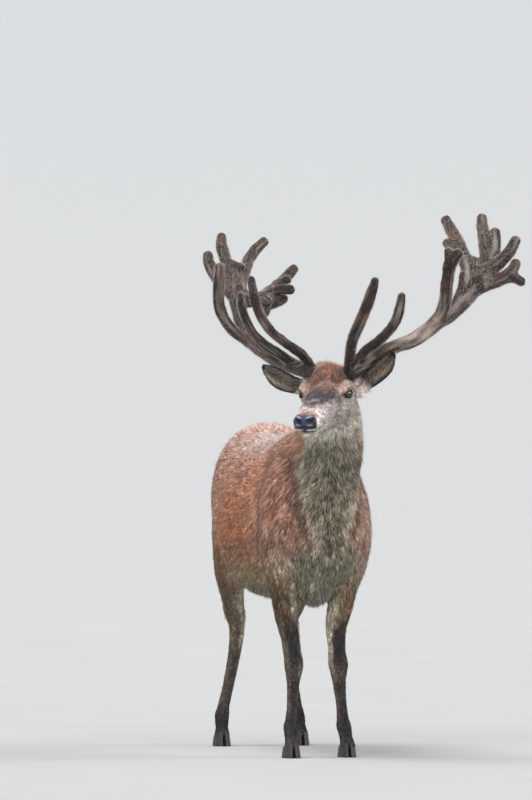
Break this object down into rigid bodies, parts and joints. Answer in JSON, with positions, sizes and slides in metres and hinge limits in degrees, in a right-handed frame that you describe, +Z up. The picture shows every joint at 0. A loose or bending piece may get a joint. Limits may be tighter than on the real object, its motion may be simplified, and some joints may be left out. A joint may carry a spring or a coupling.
{
  "type": "red deer stag",
  "caption": "Life-size red deer stag in velvet antlers, standing with its head raised and turned to its right, for use as a still natural history model.",
  "frame": {"origin": "centre of the bounding box's footprint, on the floor under the hooves", "axes": "+Z up, -Y the way the body faces, +X the stag's left side"},
  "size_m": [1.0488, 1.7346, 1.9381],
  "materials": {
    "body_coat": "short reddish-brown summer hair lying flat",
    "neck_coat": "longer grizzled grey-cream hair with dark flecks",
    "face_coat": "very short grey-brown hair, naked dark nose pad",
    "ear_coat": "short grey-brown hair, cream inside",
    "leg_coat": "short brown hair, dark down the front",
    "velvet": "soft velvet skin with a pale rim of fine hair",
    "hoof": "dark horn",
    "eye": "wet and glossy"
  },
  "bodies": {
    "root": {"antler_left_beam_lower": "velvet", "antler_left_beam_upper": "velvet", "antler_left_bez": "velvet", "antler_left_brow": "velvet", "antler_left_crown_back": "velvet", "antler_left_crown_inner": "velvet", "antler_left_crown_inner_side": "velvet", "antler_left_crown_low": "velvet", "antler_left_crown_low_fork": "velvet", "antler_left_crown_middle": "velvet", "antler_left_crown_outer": "velvet", "antler_left_trez": "velvet", "antler_left_trez_fork": "velvet", "antler_right_beam_lower": "velvet", "antler_right_beam_upper": "velvet", "antler_right_bez": "velvet", "antler_right_brow": "velvet", "antler_right_crown_front": "velvet", "antler_right_crown_inner": "velvet", "antler_right_crown_inner_side": "velvet", "antler_right_crown_middle": "velvet", "antler_right_crown_outer": "velvet", "antler_right_trez": "velvet", "ear_left": "ear_coat", "ear_right": "ear_coat", "eye_left": "eye", "eye_right": "eye", "foreleg_left_cannon": "leg_coat", "foreleg_left_claw_inner": "hoof", "foreleg_left_claw_outer": "hoof", "foreleg_left_dewclaw_inner": "hoof", "foreleg_left_dewclaw_outer": "hoof", "foreleg_left_pastern": "leg_coat", "foreleg_left_upper": "leg_coat", "foreleg_right_cannon": "leg_coat", "foreleg_right_claw_inner": "hoof", "foreleg_right_claw_outer": "hoof", "foreleg_right_dewclaw_inner": "hoof", "foreleg_right_dewclaw_outer": "hoof", "foreleg_right_pastern": "leg_coat", "foreleg_right_upper": "leg_coat", "head": "face_coat", "hindleg_left_cannon": "leg_coat", "hindleg_left_claw_inner": "hoof", "hindleg_left_claw_outer": "hoof", "hindleg_left_dewclaw_inner": "hoof", "hindleg_left_dewclaw_outer": "hoof", "hindleg_left_pastern": "leg_coat", "hindleg_left_upper": "leg_coat", "hindleg_right_cannon": "leg_coat", "hindleg_right_claw_inner": "hoof", "hindleg_right_claw_outer": "hoof", "hindleg_right_dewclaw_inner": "hoof", "hindleg_right_dewclaw_outer": "hoof", "hindleg_right_pastern": "leg_coat", "hindleg_right_upper": "leg_coat", "neck": "neck_coat", "tail": "body_coat", "trunk": "body_coat"}
  },
  "joints": []
}
